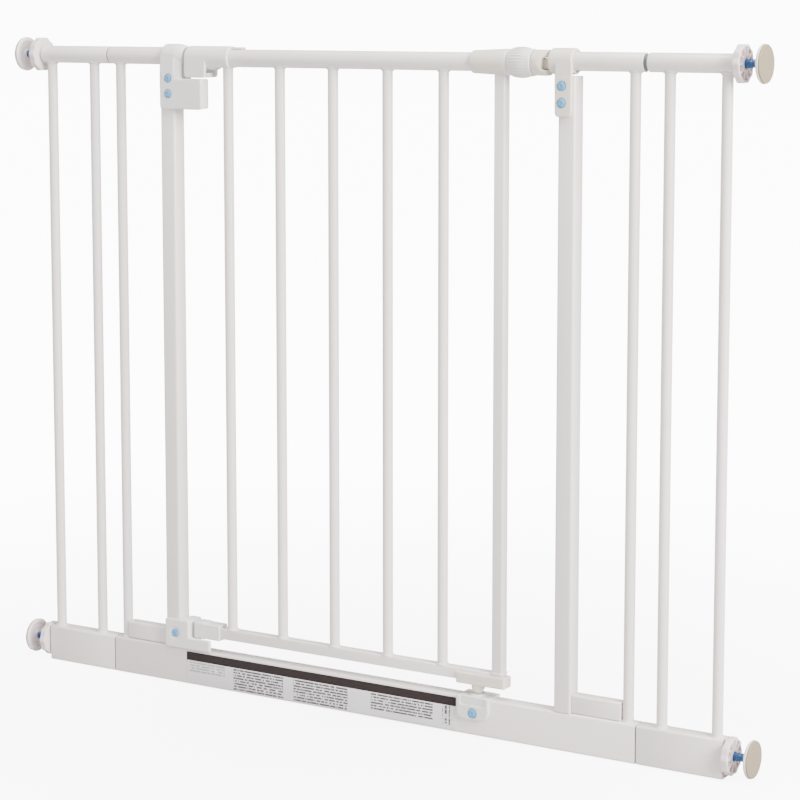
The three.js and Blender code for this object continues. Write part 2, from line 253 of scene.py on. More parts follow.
def powder_coat(name, light, dark):
    """White baked enamel: cloudy tone, orange peel about 1.2 mm across, and a few fine specks."""
    finish = Finish(name)
    cloud = finish.noise(70, 4)
    peel = finish.noise(1.2, 2)
    specks = finish.noise(0.45, 1) > 0.72
    tone = (cloud * 0.7 + peel * 0.3).blend(dark, light)
    colour = (specks * 0.18).blend(tone, rgb(0.55, 0.54, 0.52))
    roughness = 0.27 + cloud * 0.12 + peel * 0.06
    normal = finish.bump(peel + specks * 0.3, 0.05, 0.35)
    return finish.shade(colour, roughness, normal, Coat_Weight=0.25, Coat_Roughness=0.18, IOR=1.5)


white_paint = powder_coat("white_powder_coat", rgb(0.835, 0.768, 0.742), rgb(0.775, 0.708, 0.683))
print("made", white_paint.name)

# %% Moulded plastics


def moulded(name, light, dark, gloss=0.42, grain_mm=0.35, depth_mm=0.03):
    """Injection-moulded plastic: even colour with faint flow marks, and a fine grain in the surface."""
    finish = Finish(name)
    flow = finish.noise(22, 3, (1, 1, 0.35))
    grain = finish.noise(grain_mm, 2)
    colour = (flow * 0.75 + grain * 0.25).blend(dark, light)
    roughness = gloss - 0.06 + flow * 0.08 + grain * 0.08
    normal = finish.bump(grain, depth_mm, 0.4)
    return finish.shade(colour, roughness, normal, Subsurface_Weight=0.04, Subsurface_Scale=0.002, IOR=1.49)


latch_white = moulded("latch_white_plastic", rgb(0.78, 0.755, 0.735), rgb(0.72, 0.695, 0.67))
hinge_cream = moulded("hinge_cream_plastic", rgb(0.76, 0.70, 0.61), rgb(0.69, 0.63, 0.54))
wheel_pink = moulded("wheel_pinkish_plastic", rgb(0.80, 0.71, 0.70), rgb(0.68, 0.57, 0.56), gloss=0.34)
cap_blue = moulded("screw_cap_blue", rgb(0.11, 0.345, 0.60), rgb(0.06, 0.25, 0.48), gloss=0.36)
spindle_blue = moulded("spindle_blue", rgb(0.02, 0.11, 0.30), rgb(0.008, 0.055, 0.18), gloss=0.33, grain_mm=0.5)
plug_grey = moulded("joint_plug_grey", rgb(0.13, 0.155, 0.15), rgb(0.08, 0.10, 0.10), gloss=0.45)
plastics = (latch_white, hinge_cream, wheel_pink, cap_blue, spindle_blue, plug_grey)
print("made", ", ".join(plastic.name for plastic in plastics))

# %% Rubber of the pad faces


def pebbled_rubber(name, light, dark):
    """Dull rubber with small round pebbles about a millimetre apart."""
    finish = Finish(name)
    pebble = finish.node(
        "ShaderNodeTexVoronoi", {"feature": "SMOOTH_F1"}, {"Vector": finish.place, "Scale": 900.0}
    )
    cloud = finish.noise(9, 3)
    colour = (cloud * 0.7 + pebble * 0.3).blend(dark, light)
    return finish.shade(colour, 0.72 + cloud * 0.16, finish.bump(pebble, 0.12, 0.5), Specular_IOR_Level=0.35)


pad_rubber = pebbled_rubber("pad_tan_rubber", rgb(0.30, 0.242, 0.162), rgb(0.24, 0.193, 0.128))
print("made", pad_rubber.name)

# %% [markdown]
# ## Printed label
# A long film sticker lies on the front of the bottom rail: a dark band along the top and columns of small print
# under it. Here the print is a set of plain grey dashes. The distance down the label picks the row, and a noise
# that changes along each row breaks it into dashes.

# %% Label film

LABEL = (-235.0, 126.0, 3.0, 39.0)
# Each column of print: its left and right edge, its number of rows and how dark it is.
COLUMNS = [(-231, -181, 4, 0.55), (-169, -100, 8, 1.0), (-86, -13, 8, 1.0), (17, 97, 6, 1.0)]
ROW_PITCH = 3.2
BAND_HEIGHT = 10.0


def label_film():
    """The label's dark band, its columns of dashes and the upright marks at its right end."""
    finish = Finish("label_film")
    x, z = finish.axis(0), finish.axis(2)
    below = (LABEL[3] - BAND_HEIGHT - 0.8) - z
    row = (below / ROW_PITCH).whole()
    line = ((below / ROW_PITCH).fraction() > 0.18) * ((below / ROW_PITCH).fraction() < 0.8)
    spot = finish.node("ShaderNodeCombineXYZ", None, {0: x * 0.42, 1: row * 7.3, 2: 0.0})
    dash = finish.node("ShaderNodeTexNoise", None, {"Vector": spot, "Scale": 1.0, "Detail": 1.0}) > 0.41
    ink = None
    for left, right, rows, weight in COLUMNS:
        column = (x > left) * (x < right) * (below > 0) * (below < rows * ROW_PITCH) * weight
        ink = column if ink is None else ink + column
    ink = ink * line * dash
    upright = finish.node("ShaderNodeCombineXYZ", None, {0: z * 0.55, 1: (x / 3.2).whole() * 5.1, 2: 0.0})
    marks = finish.node("ShaderNodeTexNoise", None, {"Vector": upright, "Scale": 1.0}) > 0.46
    side = (x > 109) * (x < 119) * (z > 7) * (z < 29) * ((x / 5.0).fraction() > 0.4) * marks
    ink = ink + side
    band = z > LABEL[3] - BAND_HEIGHT
    grain = finish.noise(3, 2)
    ground = (grain * 0.5).blend(rgb(0.735, 0.70, 0.71), rgb(0.67, 0.635, 0.645))
    printed = ink.blend(ground, rgb(0.09, 0.08, 0.085))
    colour = band.blend(printed, rgb(0.016, 0.009, 0.009))
    return finish.shade(colour, 0.5 + grain * 0.12, finish.bump(grain, 0.01, 0.3), Specular_IOR_Level=0.3)


label_print = label_film()
print("made", label_print.name)

# %% [markdown]
# ## Mesh helpers
# Most of the gate is turned or extruded. A profile with rounded corners is swept round an axis or along a
# straight line, so each edge has the small radius that catches the light on a real part.

# %% Outlines with rounded corners


def softened(points, radius, steps=4, closed=True):
    """A polygon with its corners rounded by up to this radius. Points with a third value stay sharp."""
    out = []
    count = len(points)
    for i, p in enumerate(points):
        here = Vector(p[:2])
        if len(p) > 2 or (not closed and i in (0, count - 1)):
            out.append(here)
            continue
        before, after = Vector(points[i - 1][:2]), Vector(points[(i + 1) % count][:2])
        back, ahead = before - here, after - here
        turn = back.angle(ahead, 0)
        if turn > math.radians(176) or back.length < 1e-6 or ahead.length < 1e-6:
            out.append(here)
            continue
        reach = min(radius / math.tan(turn / 2), back.length * 0.45, ahead.length * 0.45)
        start, end = here + back.normalized() * reach, here + ahead.normalized() * reach
        for k in range(steps + 1):
            t = k / steps
            out.append((1 - t) ** 2 * start + 2 * t * (1 - t) * here + t * t * end)
    return out


def rounded_box_outline(width, height, radius, steps=5):
    """A box round the origin with its corners rounded."""
    w, h = width / 2, height / 2
    return softened([(-w, -h), (w, -h), (w, h), (-w, h)], radius, steps)


print("outline of a 20 mm post:", len(rounded_box_outline(20, 20, 3)), "points")

# %% Turning and extruding into one mesh


class Shape:
    """Vertices and faces being gathered, in millimetres, for one piece."""

    def __init__(self):
        self.bm = bmesh.new()

    def skin(self, rings, wrap=True, cap_ends=False):
        """Joins rings of points into a surface. wrap also joins the last ring to the first."""
        made = [[self.bm.verts.new(p) for p in ring] for ring in rings]
        pairs = list(zip(made, made[1:])) + ([(made[-1], made[0])] if wrap else [])
        for a, b in pairs:
            for i in range(len(a)):
                j = (i + 1) % len(a)
                self.bm.faces.new((a[i], a[j], b[j], b[i]))
        if cap_ends:
            self.bm.faces.new(made[0][::-1])
            self.bm.faces.new(made[-1])
        return self

    def turn(self, profile, axis="X", centre=(0, 0, 0), steps=64, turn_by=None):
        """Sweeps a profile of (radius, distance) round an axis. A profile that starts and ends on the axis is
        closed there."""
        spin = {"X": lambda r, d, c, s: (d, r * c, r * s), "Y": lambda r, d, c, s: (r * s, d, r * c)}
        spin["Z"] = lambda r, d, c, s: (r * c, r * s, d)
        on_axis = abs(profile[0][0]) < 1e-6 and abs(profile[-1][0]) < 1e-6
        body = profile[1:-1] if on_axis else profile
        matrix = Matrix.Translation(centre) @ (turn_by or Matrix())
        angles = round_angles(steps)

        def ring(r, d):
            return [matrix @ Vector(spin[axis](r, d, math.cos(a), math.sin(a))) for a in angles]

        rings = [ring(r, d) for r, d in body]
        if not on_axis:
            return self.skin(rings)
        self.skin(rings, wrap=False)
        start = len(self.bm.verts) - len(rings) * steps
        self.bm.verts.ensure_lookup_table()
        for d, first in ((profile[0][1], start), (profile[-1][1], start + (len(rings) - 1) * steps)):
            tip = self.bm.verts.new(matrix @ Vector(spin[axis](0, d, 1, 0)))
            self.bm.verts.ensure_lookup_table()
            for i in range(steps):
                pair = (self.bm.verts[first + i], self.bm.verts[first + (i + 1) % steps])
                self.bm.faces.new((tip, *pair))
        return self

    def tube(self, outer, bore, start, end, axis="X", centre=(0, 0, 0), steps=64, lip=0.5):
        corners = [(bore, start), (outer, start), (outer, end), (bore, end)]
        return self.turn(softened(corners, lip, 3), axis, centre, steps)

    def rod(self, radius, start, end, axis="X", centre=(0, 0, 0), steps=48, lip=0.5, turn_by=None):
        corners = [(0, start, 1), (radius, start), (radius, end), (0, end, 1)]
        return self.turn(softened(corners, lip, 4), axis, centre, steps, turn_by)

    def beam(self, outline, start, end, axis="X", centre=(0, 0, 0), hollow=None, lip=0.4):
        """Extrudes an outline along an axis, with its end edges eased. hollow is the outline of its bore."""
        lays = {"X": lambda u, v, d: (d, u, v), "Y": lambda u, v, d: (u, d, v)}
        lay = lays.get(axis, lambda u, v, d: (u, v, d))
        middle = sum(outline, Vector((0, 0))) / len(outline)
        base = Vector(centre)

        def ring(points, distance, inset=0.0):
            out = []
            for i, p in enumerate(points):
                along = points[(i + 1) % len(points)] - points[i - 1]
                normal = Vector((along.y, -along.x)).normalized()
                if normal.dot(p - middle) < 0:
                    normal = -normal
                q = p - normal * inset
                out.append(base + Vector(lay(q.x, q.y, distance)))
            return out

        steps = [(lip, 0), (lip * 0.3, lip * 0.3), (0, lip)]
        low = [ring(outline, start + along, inset) for inset, along in steps]
        high = [ring(outline, end - along, inset) for inset, along in steps[::-1]]
        if hollow:
            return self.skin(low + high + [ring(hollow, end), ring(hollow, start)])
        return self.skin(low + high, wrap=False, cap_ends=True)

    def mesh(self, name):
        bmesh.ops.remove_doubles(self.bm, verts=self.bm.verts, dist=1e-4)
        bmesh.ops.recalc_face_normals(self.bm, faces=self.bm.faces)
        bmesh.ops.scale(self.bm, vec=(MM, MM, MM), verts=self.bm.verts)
        mesh = bpy.data.meshes.new(name)
        self.bm.to_mesh(mesh)
        self.bm.free()
        return mesh


def fit(name, shape, material, body, nodes, sharp=32):
    """Turns a shape, or a mesh, into a finished piece that stands for its CAD nodes."""
    mesh = shape.mesh(name) if isinstance(shape, Shape) else shape
    mesh.materials.clear()
    mesh.materials.append(material)
    mesh.shade_smooth()
    mesh.set_sharp_from_angle(angle=math.radians(sharp))
    piece = stand(name, mesh)
    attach(piece, body)
    if nodes:
        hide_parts(*nodes)
    print(name, len(mesh.polygons), "faces")
    return piece


def steel(name, shape, body, nodes, sharp=32):
    """A piece of the painted steel frame."""
    return fit(name, shape, white_paint, body, nodes, sharp)


print("helpers ready")

# %% [markdown]
# ## Steel tubes and rails
# The frame is cut from three kinds of tube: round, square and flat rectangular. Rectangular tube is rolled from
# strip, so its corners are round and its ends show the wall. Each is an outline swept along its length.

# %% Rectangular rails and square posts


def hollow_section(width, height, corner, wall):
    """The outline of a tube and the outline of its bore."""
    bore = rounded_box_outline(width - 2 * wall, height - 2 * wall, max(corner - wall, 0.6))
    return rounded_box_outline(width, height, corner), bore


def rail(name, body, node, start, end, z, height, depth, corner=3.0, wall=1.5, closed=()):
    """A rectangular tube. closed gives the places along it where an end plate sits inside the walls."""
    outline, bore = hollow_section(depth, height, corner, wall)
    shape = Shape().beam(outline, start, end, "X", (0, 0, z), bore)
    plate = rounded_box_outline(depth - wall, height - wall, max(corner - wall / 2, 0.8))
    for place in closed:
        shape.beam(plate, place - 0.7, place + 0.7, "X", (0, 0, z), lip=0.1)
    return steel(name, shape, body, [node])


rail("bottom_rail_steel", "gate", "bottom_rail", -JOINT_X, JOINT_X, RAIL_Z, RAIL_H, 20)
door_rail_z = sum(DOOR_RAIL) / 2
door_tube = (DOOR_TUBE, DOOR_TUBE, 1.5, 1.2)
rail("door_rail_steel", "door", "door_bottom_rail", -218, 179.95, door_rail_z, *door_tube, [179])
for side, s in SIDES:
    outline, bore = hollow_section(POST_SIZE, POST_SIZE, 3, 1.5)
    upright = Shape().beam(outline, *POST_ENDS, "Z", (s * POST_X, 0, 0), bore)
    steel(side + "_post_steel", upright, "gate", [side + "_post"])
    span = mirrored(s, *UPPER_RAIL)
    plates = (span[0] + 1, span[1] - 1)
    rail(side + "_upper_rail_steel", "gate", side + "_upper_rail", *span, 52.3, 20, 15, 2.5, closed=plates)
    ends = mirrored(s, JOINT_X + 1.6, EXT_END)
    outline, bore = hollow_section(20, RAIL_H, 3, 1.5)
    shape = Shape().beam(outline, *ends, "X", (0, 0, RAIL_Z), bore)
    plate = rounded_box_outline(18.4, RAIL_H - 1.6, 2.2)
    hole = [p.normalized() * 5.4 + Vector((0, PAD_LOW_Z - RAIL_Z)) for p in plate]
    shape.beam(plate, *mirrored(s, EXT_END - 1.6, EXT_END - 0.2), "X", (0, 0, RAIL_Z), hole, lip=0.1)
    steel(side + "_extension_rail_steel", shape, "gate", [side + "_extension_bottom_rail"])
    outline, bore = hollow_section(16.6, 38.6, 1.8, 1.6)
    insert = Shape().beam(outline, *mirrored(s, *RAIL_PLUG), "X", (0, 0, RAIL_Z), bore)
    fit(side + "_rail_plug", insert, plug_grey, "gate", [])

# %% [markdown]
# Round tubes are turned. An extension's tube carries a thinner plug that slides inside the frame's tube. On the
# right the joint is a few millimetres open, and the plug shows there.

# %% Round top tubes

for side, s, gap in (("left", -1, 1.8), ("right", 1, 4.5)):
    ends = mirrored(s, 239.5, JOINT_X)
    shape = Shape().tube(TUBE_R, TUBE_BORE, *ends, "X", (0, 0, FRAME_Z))
    steel(side + "_top_tube_steel", shape, "gate", [side + "_top_tube"])
    start = JOINT_X + gap
    shape = Shape().tube(TUBE_R, TUBE_BORE, *mirrored(s, start, EXT_END), "X", (0, 0, FRAME_Z))
    plug = Shape().tube(8.5, 7.2, *mirrored(s, RAIL_PLUG[0], start + 8), "X", (0, 0, FRAME_Z))
    fit(side + "_tube_plug", plug, plug_grey, "gate", [])
    steel(side + "_extension_tube_steel", shape, "gate", [side + "_extension_top_tube"])
shape = Shape().tube(TUBE_R, TUBE_BORE, -226, 184, "X", (0, 0, DOOR_Z))
steel("door_top_tube_steel", shape, "door", ["door_top_tube"])

# %% [markdown]
# ## Bars
# A bar is a length of thin round tube. Its top is notched to sit under the top tube. The notch follows the
# tube's round side, so every point on the bar's rim climbs until it meets the tube.

# %% Bars with a saddled top


def bar(name, node, x, foot, tube_z, body):
    """An upright round tube with a flat foot and a top that follows the tube above it."""
    angles = round_angles(40)

    def saddle(y, clearance):
        return tube_z - math.sqrt((TUBE_R - clearance) ** 2 - y**2)

    def rim(radius, clearance):
        places = [(x + radius * math.cos(a), radius * math.sin(a)) for a in angles]
        return [(px, py, saddle(py, clearance)) for px, py in places]

    def circle(radius, z):
        return [(x + radius * math.cos(a), radius * math.sin(a), z) for a in angles]

    rings = [circle(BAR_BORE, foot), circle(BAR_R, foot), rim(BAR_R, 0.05), rim(BAR_BORE, 0.05)]
    return steel(name, Shape().skin(rings), body, [node], sharp=40)


for i, x in enumerate(DOOR_BARS):
    bar(f"door_bar_steel_{i + 1}", f"door_bar_{i + 1}", x, 70.9, DOOR_Z, "door")
for side, s in SIDES:
    bar(side + "_frame_bar_steel", side + "_frame_bar", s * FRAME_BAR_X, 41.9, FRAME_Z, "gate")
    for word, x in zip(("inner", "outer"), EXT_BARS):
        node = f"{side}_extension_{word}_bar"
        bar(node + "_steel", node, s * x, 41.9, FRAME_Z, "gate")
outline, bore = hollow_section(*door_tube)
stile = Shape().beam(outline, 70.9, DOOR_Z - 8.2, "Z", (STILE_X, 0, 0), bore)
steel("door_stile_steel", stile, "door", ["door_stile"])

# %% [markdown]
# ## Weld beads
# Each bar is welded at its foot and at its top. A bead is a ring of small overlapping ripples. There are more
# than twenty of them, so a Geometry Nodes tree makes them: it takes a curve for the path, thickens it, ripples
# it with noise, and hands back one mesh. The paths are drawn here as curves, one ring for each joint.

# %% Geometry Nodes helper


class Tree:
    """A Geometry Nodes tree being built, with named inputs and nodes made by one call."""

    def __init__(self, name, sizes):
        self.group = bpy.data.node_groups.new(name, "GeometryNodeTree")
        face = self.group.interface
        face.new_socket("Geometry", in_out="INPUT", socket_type="NodeSocketGeometry")
        for key, value in sizes.items():
            kind = "NodeSocketInt" if isinstance(value, int) else "NodeSocketFloat"
            face.new_socket(key, in_out="INPUT", socket_type=kind).default_value = value
        face.new_socket("Geometry", in_out="OUTPUT", socket_type="NodeSocketGeometry")
        self.given = self.group.nodes.new("NodeGroupInput")
        self.result = self.group.nodes.new("NodeGroupOutput")

    def size(self, key):
        return self.given.outputs[key]

    def add(self, kind, settings=None, sockets=None, out=0):
        made = self.group.nodes.new(kind)
        for key, value in (settings or {}).items():
            setattr(made, key, value)
        for key, value in (sockets or {}).items():
            if isinstance(value, bpy.types.NodeSocket):
                self.group.links.new(value, made.inputs[key])
            else:
                made.inputs[key].default_value = value
        return made.outputs[out]

    def sum(self, operation, a, b=0.0):
        return self.add("ShaderNodeMath", {"operation": operation}, {0: a, 1: b})

    def end(self, geometry, material):
        real = self.add("GeometryNodeRealizeInstances", None, {0: geometry})
        painted = self.add("GeometryNodeSetMaterial", None, {0: real, "Material": material})
        self.group.links.new(painted, self.result.inputs[0])

    def grow(self, name, data):
        """Runs the tree on a curve or a mesh and returns the plain mesh that comes out."""
        carrier = stand(name + "_seed", data)
        carrier.modifiers.new("grow", "NODES").node_group = self.group
        graph = bpy.context.evaluated_depsgraph_get()
        mesh = bpy.data.meshes.new_from_object(carrier.evaluated_get(graph))
        mesh.name = name
        bpy.data.objects.remove(carrier, do_unlink=True)
        return mesh


def ring_paths(name, rings):
    """A curve with one closed loop for each list of points, in millimetres."""
    curve = bpy.data.curves.new(name, "CURVE")
    curve.dimensions = "3D"
    for points in rings:
        spline = curve.splines.new("POLY")
        spline.points.add(len(points) - 1)
        for place, point in zip(spline.points, points):
            place.co = (*(Vector(point) * MM), 1)
        spline.use_cyclic_u = True
    return curve


# %% Weld beads tree

bead_tree = Tree("weld_bead", {"Bead radius": 0.0011, "Ripple": 0.00035, "Ripple size": 0.0016, "Seed": 4})
path = bead_tree.add("GeometryNodeResampleCurve", None, {0: bead_tree.given.outputs[0], "Count": 56})
swept = bead_tree.add(
    "GeometryNodeCurveToMesh",
    None,
    {
        0: path,
        1: bead_tree.add(
            "GeometryNodeCurvePrimitiveCircle", None, {"Resolution": 8, "Radius": bead_tree.size("Bead radius")}
        ),
    },
)
ripple = bead_tree.add(
    "ShaderNodeTexNoise",
    {"noise_dimensions": "4D"},
    {"Scale": bead_tree.sum("DIVIDE", 1.0, bead_tree.size("Ripple size")), "W": bead_tree.size("Seed")},
)
push = bead_tree.sum("MULTIPLY", bead_tree.sum("SUBTRACT", ripple, 0.5), bead_tree.size("Ripple"))
normal = bead_tree.add("GeometryNodeInputNormal")
move = bead_tree.add("ShaderNodeVectorMath", {"operation": "SCALE"}, {0: normal, "Scale": push})
rippled = bead_tree.add("GeometryNodeSetPosition", None, {0: swept, "Offset": move})
bead_tree.end(rippled, white_paint)
print("weld tree has", len(bead_tree.group.nodes), "nodes")

# %% Weld beads on the bars


def foot_ring(x, z):
    """The path of the bead round a bar's foot."""
    r = BAR_R + 0.2
    return [(x + r * math.cos(a), r * math.sin(a), z + 0.3) for a in round_angles(40)]


def top_ring(x, tube_z):
    """The path of the bead round a bar's top, which climbs round the tube's side."""
    r = BAR_R + 0.3
    places = [(x + r * math.cos(a), r * math.sin(a)) for a in round_angles(40)]
    return [(px, y, tube_z - math.sqrt((TUBE_R + 0.2) ** 2 - y * y) - 0.2) for px, y in places]


def square_ring(x, size, z):
    """The path of the bead round the foot of the door's stile."""
    return [(x + p.x, p.y, z) for p in rounded_box_outline(size, size, 1.5, 3)]


gate_bars = [s * x for s in (-1, 1) for x in (FRAME_BAR_X, *EXT_BARS)]
gate_rings = [foot_ring(x, RAIL_H) for x in gate_bars] + [top_ring(x, FRAME_Z) for x in gate_bars]
door_rings = [foot_ring(x, DOOR_RAIL[1]) for x in DOOR_BARS] + [top_ring(x, DOOR_Z) for x in DOOR_BARS]
door_rings.append(square_ring(STILE_X, DOOR_TUBE + 0.2, DOOR_RAIL[1] + 0.2))
for name, rings, body in (("gate_weld_beads", gate_rings, "gate"), ("door_weld_beads", door_rings, "door")):
    beads = bead_tree.grow(name, ring_paths(name + "_paths", rings))
    steel(name, beads, body, [], sharp=180)

# %% [markdown]
# ## Moulded parts
# The latch, the brackets and the handle are injection moulded: several rounded forms that flow into each
# other. Each is made from overlapping closed forms. A boolean takes out the bores and slots, a fine voxel
# remesh melts the forms into one skin, and a short smoothing leaves a radius on every edge, as a mould does.

# %% Melting forms into one moulding


def moulding(name, forms, tools, material, body, nodes, voxel=0.55, rounds=5, keep=0.35):
    """forms and tools are Shapes. The result is one closed skin with soft edges."""
    work = stand(name + "_work", forms.mesh(name))
    cutter = None
    if tools:
        cutter = stand(name + "_tools", tools.mesh(name + "_tools"))
        drill = work.modifiers.new("drill", "BOOLEAN")
        drill.operation = "DIFFERENCE"
        drill.solver = "EXACT"
        drill.use_self = True
        drill.object = cutter
    melt = work.modifiers.new("melt", "REMESH")
    melt.mode = "VOXEL"
    melt.voxel_size = voxel * MM
    smooth = work.modifiers.new("smooth", "SMOOTH")
    smooth.factor = 0.5
    smooth.iterations = rounds
    thin = work.modifiers.new("thin", "DECIMATE")
    thin.ratio = keep
    graph = bpy.context.evaluated_depsgraph_get()
    made = bpy.data.meshes.new_from_object(work.evaluated_get(graph))
    made.name = name
    for scrap in filter(None, (work, cutter)):
        bpy.data.objects.remove(scrap, do_unlink=True)
    return fit(name, made, material, body, nodes, sharp=180)


def front_plate(shape, x0, x1, z0, z1, corner, y0, y1, lip=1.2):
    """A rounded plate seen from the front."""
    w, h = (x1 - x0), (z1 - z0)
    outline = [p + Vector(((x0 + x1) / 2, (z0 + z1) / 2)) for p in rounded_box_outline(w, h, corner, 6)]
    return shape.beam(outline, y0, y1, "Y", (0, 0, 0), lip=lip)


def top_slab(shape, x0, x1, y0, y1, corner, z0, z1, lip=1.2):
    """A rounded block seen from above."""
    w, h = (x1 - x0), (y1 - y0)
    outline = [p + Vector(((x0 + x1) / 2, (y0 + y1) / 2)) for p in rounded_box_outline(w, h, corner, 6)]
    return shape.beam(outline, z0, z1, "Z", (0, 0, 0), lip=lip)


def side_profile(shape, points, x0, x1, lip=0.8):
    """A form drawn from the side as (depth, height) points and run along the gate."""
    outline = [Vector(p) for p in points]
    return shape.beam(outline, x0, x1, "X", (0, 0, 0), lip=lip)


print("moulding helper ready")

# %% Latch housing

barrel = [(0, -261.6, 1), (13.7, -261.6), (13.7, -243), (12.3, -236), (11.5, -232.5), (0, -232.5, 1)]
forms = Shape().turn(softened(barrel, 2.4, 6), "X", (0, 0, FRAME_Z), 72)
front_plate(forms, -262, -204, 667, 701.6, 4, *PLATE)
strap_side = [(-14.6, 706), (-14.2, 716), (-13.7, 727), (-9.9, 727)]
side_profile(forms, [(-9.9, 690), (-14.6, 690)] + strap_side, -262, -242)
for proud, top in ((14.6, 706), (14.4, 711), (14.15, 716), (13.9, 721), (13.7, 727)):
    cheek = [(-250, -9.9), (-250, -proud), (-243, 0.2 - proud), (-238.5, 1.4 - proud), (-235, 3.1 - proud)]
    forms.beam([Vector(p) for p in cheek + [(-233, -9.9)]], 690, top, "Z", lip=0.3)
top_slab(forms, -244.3, -204, -14.6, 1.5, 3, 668, 701.6)
wedge = [Vector(p) for p in ((-244.3, 700), (-234, 700), (-234, 722), (-244.3, 722))]
forms.beam(wedge, -11, 9, "Y")
tools = Shape().rod(TUBE_HOLE, -280, -237, "X", (0, 0, FRAME_Z))
top_slab(tools, -231, -208, -10, -2.5, 1, 697, 706)
for x, z in LATCH_CAPS:
    tools.rod(5.1, -16, -12.9, "Y", (x, 0, z), lip=0.2)
moulding("latch_housing_moulding", forms, tools, latch_white, "gate", ["latch_housing"])

# %% Hinge clip

stem_turn = Matrix.Rotation(LEAN, 4, "Y")


def leaning_slab(start, end, half):
    """The outline, seen from the front, of a slab square to the hinge axis: distances from the pin."""
    along, across = Vector((math.cos(LEAN), -math.sin(LEAN))), Vector((math.sin(LEAN), math.cos(LEAN)))
    pin = Vector((PIN_X, DOOR_Z))
    return [pin + along * a + across * b for a, b in ((start, -half), (end, -half), (end, half), (start, half))]


forms = Shape().rod(13.7, 233.7, 261.6, "X", (0, 0, FRAME_Z), lip=2.2, steps=72)
front_plate(forms, 242.5, 262, 670, 712, 5, *PLATE)
side_profile(forms, [(-9.9, 700), (-14.6, 700)] + strap_side, 242.5, 262)
forms.rod(4.1, -5.4, 5.4, "Z", (PIN_X, 0, DOOR_Z), lip=0.4, turn_by=stem_turn)
forms.beam(leaning_slab(0, 18, 5.4), -4, 4, "Y", lip=0.3)
tools = Shape().rod(TUBE_HOLE, 238.6, 280, "X", (0, 0, FRAME_Z))
tools.rod(2.0, -12, 12, "Z", (PIN_X, 0, DOOR_Z), lip=0.1, turn_by=stem_turn)
for x, z in HINGE_CAPS:
    tools.rod(5.3, -16, -12.9, "Y", (x, 0, z), lip=0.2)
moulding("hinge_clip_moulding", forms, tools, hinge_cream, "gate", ["hinge_clip"])

# %% Catch bracket and hinge socket

forms = Shape()
front_plate(forms, -263.5, -230, 42.2, 76, 3, *BRACKET)
top_slab(forms, -244.3, -230, -14, 13, 2, 42.2, 75.6)
top_slab(forms, -240, -200.6, -14.1, -9.0, 1.4, 42.2, 56)
x, z = CATCH_CAP
stepped = [(0, -16), (7.4, -16), (7.4, -13.4), (4.7, -13.4), (4.7, -12.0), (0, -12.0)]
tools = Shape().turn(stepped, "Y", (x, 0, z), 48)
moulding("catch_bracket_moulding", forms, tools, latch_white, "gate", ["catch_bracket"])

forms = Shape()
sx = BALL[0]
front_plate(forms, sx - 20, sx + 20, 18, 44, 12.4, *BRACKET)
front_plate(forms, sx - 19.9, sx + 19.9, 30, 43.9, 1.5, -14.05, -9.95)
front_plate(forms, sx - 20, sx + 20, 20, 44, 6, 9.9, 14.1)
top_slab(forms, sx - 20, sx + 20, -14, 14, 1.5, 42.15, 43.4, lip=0.3)
forms.rod(9, 42.5, 45, "Z", (sx, 0, 0), lip=0.6)
x, z = SOCKET_CAP
tools = Shape().rod(5.7, -16, -12.5, "Y", (x, 0, z), lip=0.2)
front_plate(tools, sx - 15.5, sx + 15.5, 33.4, 52, 4, -15.2, -13.0, lip=0.1)
arc = [math.pi * k / 20 for k in range(1, 20)]
cup = [(0, -6.75)] + [(6.75 * math.sin(a), -6.75 * math.cos(a)) for a in arc] + [(0, 6.75)]
tools.turn(cup, "Z", BALL, 40)
moulding("hinge_socket_moulding", forms, tools, latch_white, "gate", ["hinge_socket"], voxel=0.45)

# %% Door end cap and foot cap

half = DOOR_TUBE / 2 + 0.2
forms = Shape()
top_slab(forms, -226.8, -210, -8.6, 8.6, 4, 55.5, 75)
top_slab(forms, -212, -189.5, -8.5, 8.5, 2, 56, 74.2)
for k in range(5):
    top_slab(forms, -224 + 3.2 * k, -222.4 + 3.2 * k, -8.85, 8.85, 0.3, 57, 73.4, lip=0.3)
tools = Shape()
top_slab(tools, -218.2, -170, -half, half, 0.6, DOOR_RAIL[0] - 0.2, DOOR_RAIL[1] + 0.2, lip=0.1)
moulding("door_end_cap_moulding", forms, tools, latch_white, "door", ["door_end_cap"], voxel=0.5)

forms = Shape()
top_slab(forms, 123.5, 184.4, -8.6, 8.6, 2.5, 60.5, 67.6)
top_slab(forms, 124, 184.3, -8.5, 8.5, 2.5, 55, 64)
forms.rod(7.3, BALL[2] - 0.9, 57, "Z", (sx, 0, 0), lip=1.2)
ball = [(0, -6.35)] + [(6.35 * math.sin(a), -6.35 * math.cos(a)) for a in arc] + [(0, 6.35)]
forms.turn(ball, "Z", BALL, 40)
tools = Shape()
top_slab(tools, 100, 180.2, -half, half, 0.6, DOOR_RAIL[0] - 0.2, 80, lip=0.1)
moulding("door_foot_cap_moulding", forms, tools, hinge_cream, "door", ["door_foot_cap"], voxel=0.45)

# %% Slide handle and release button

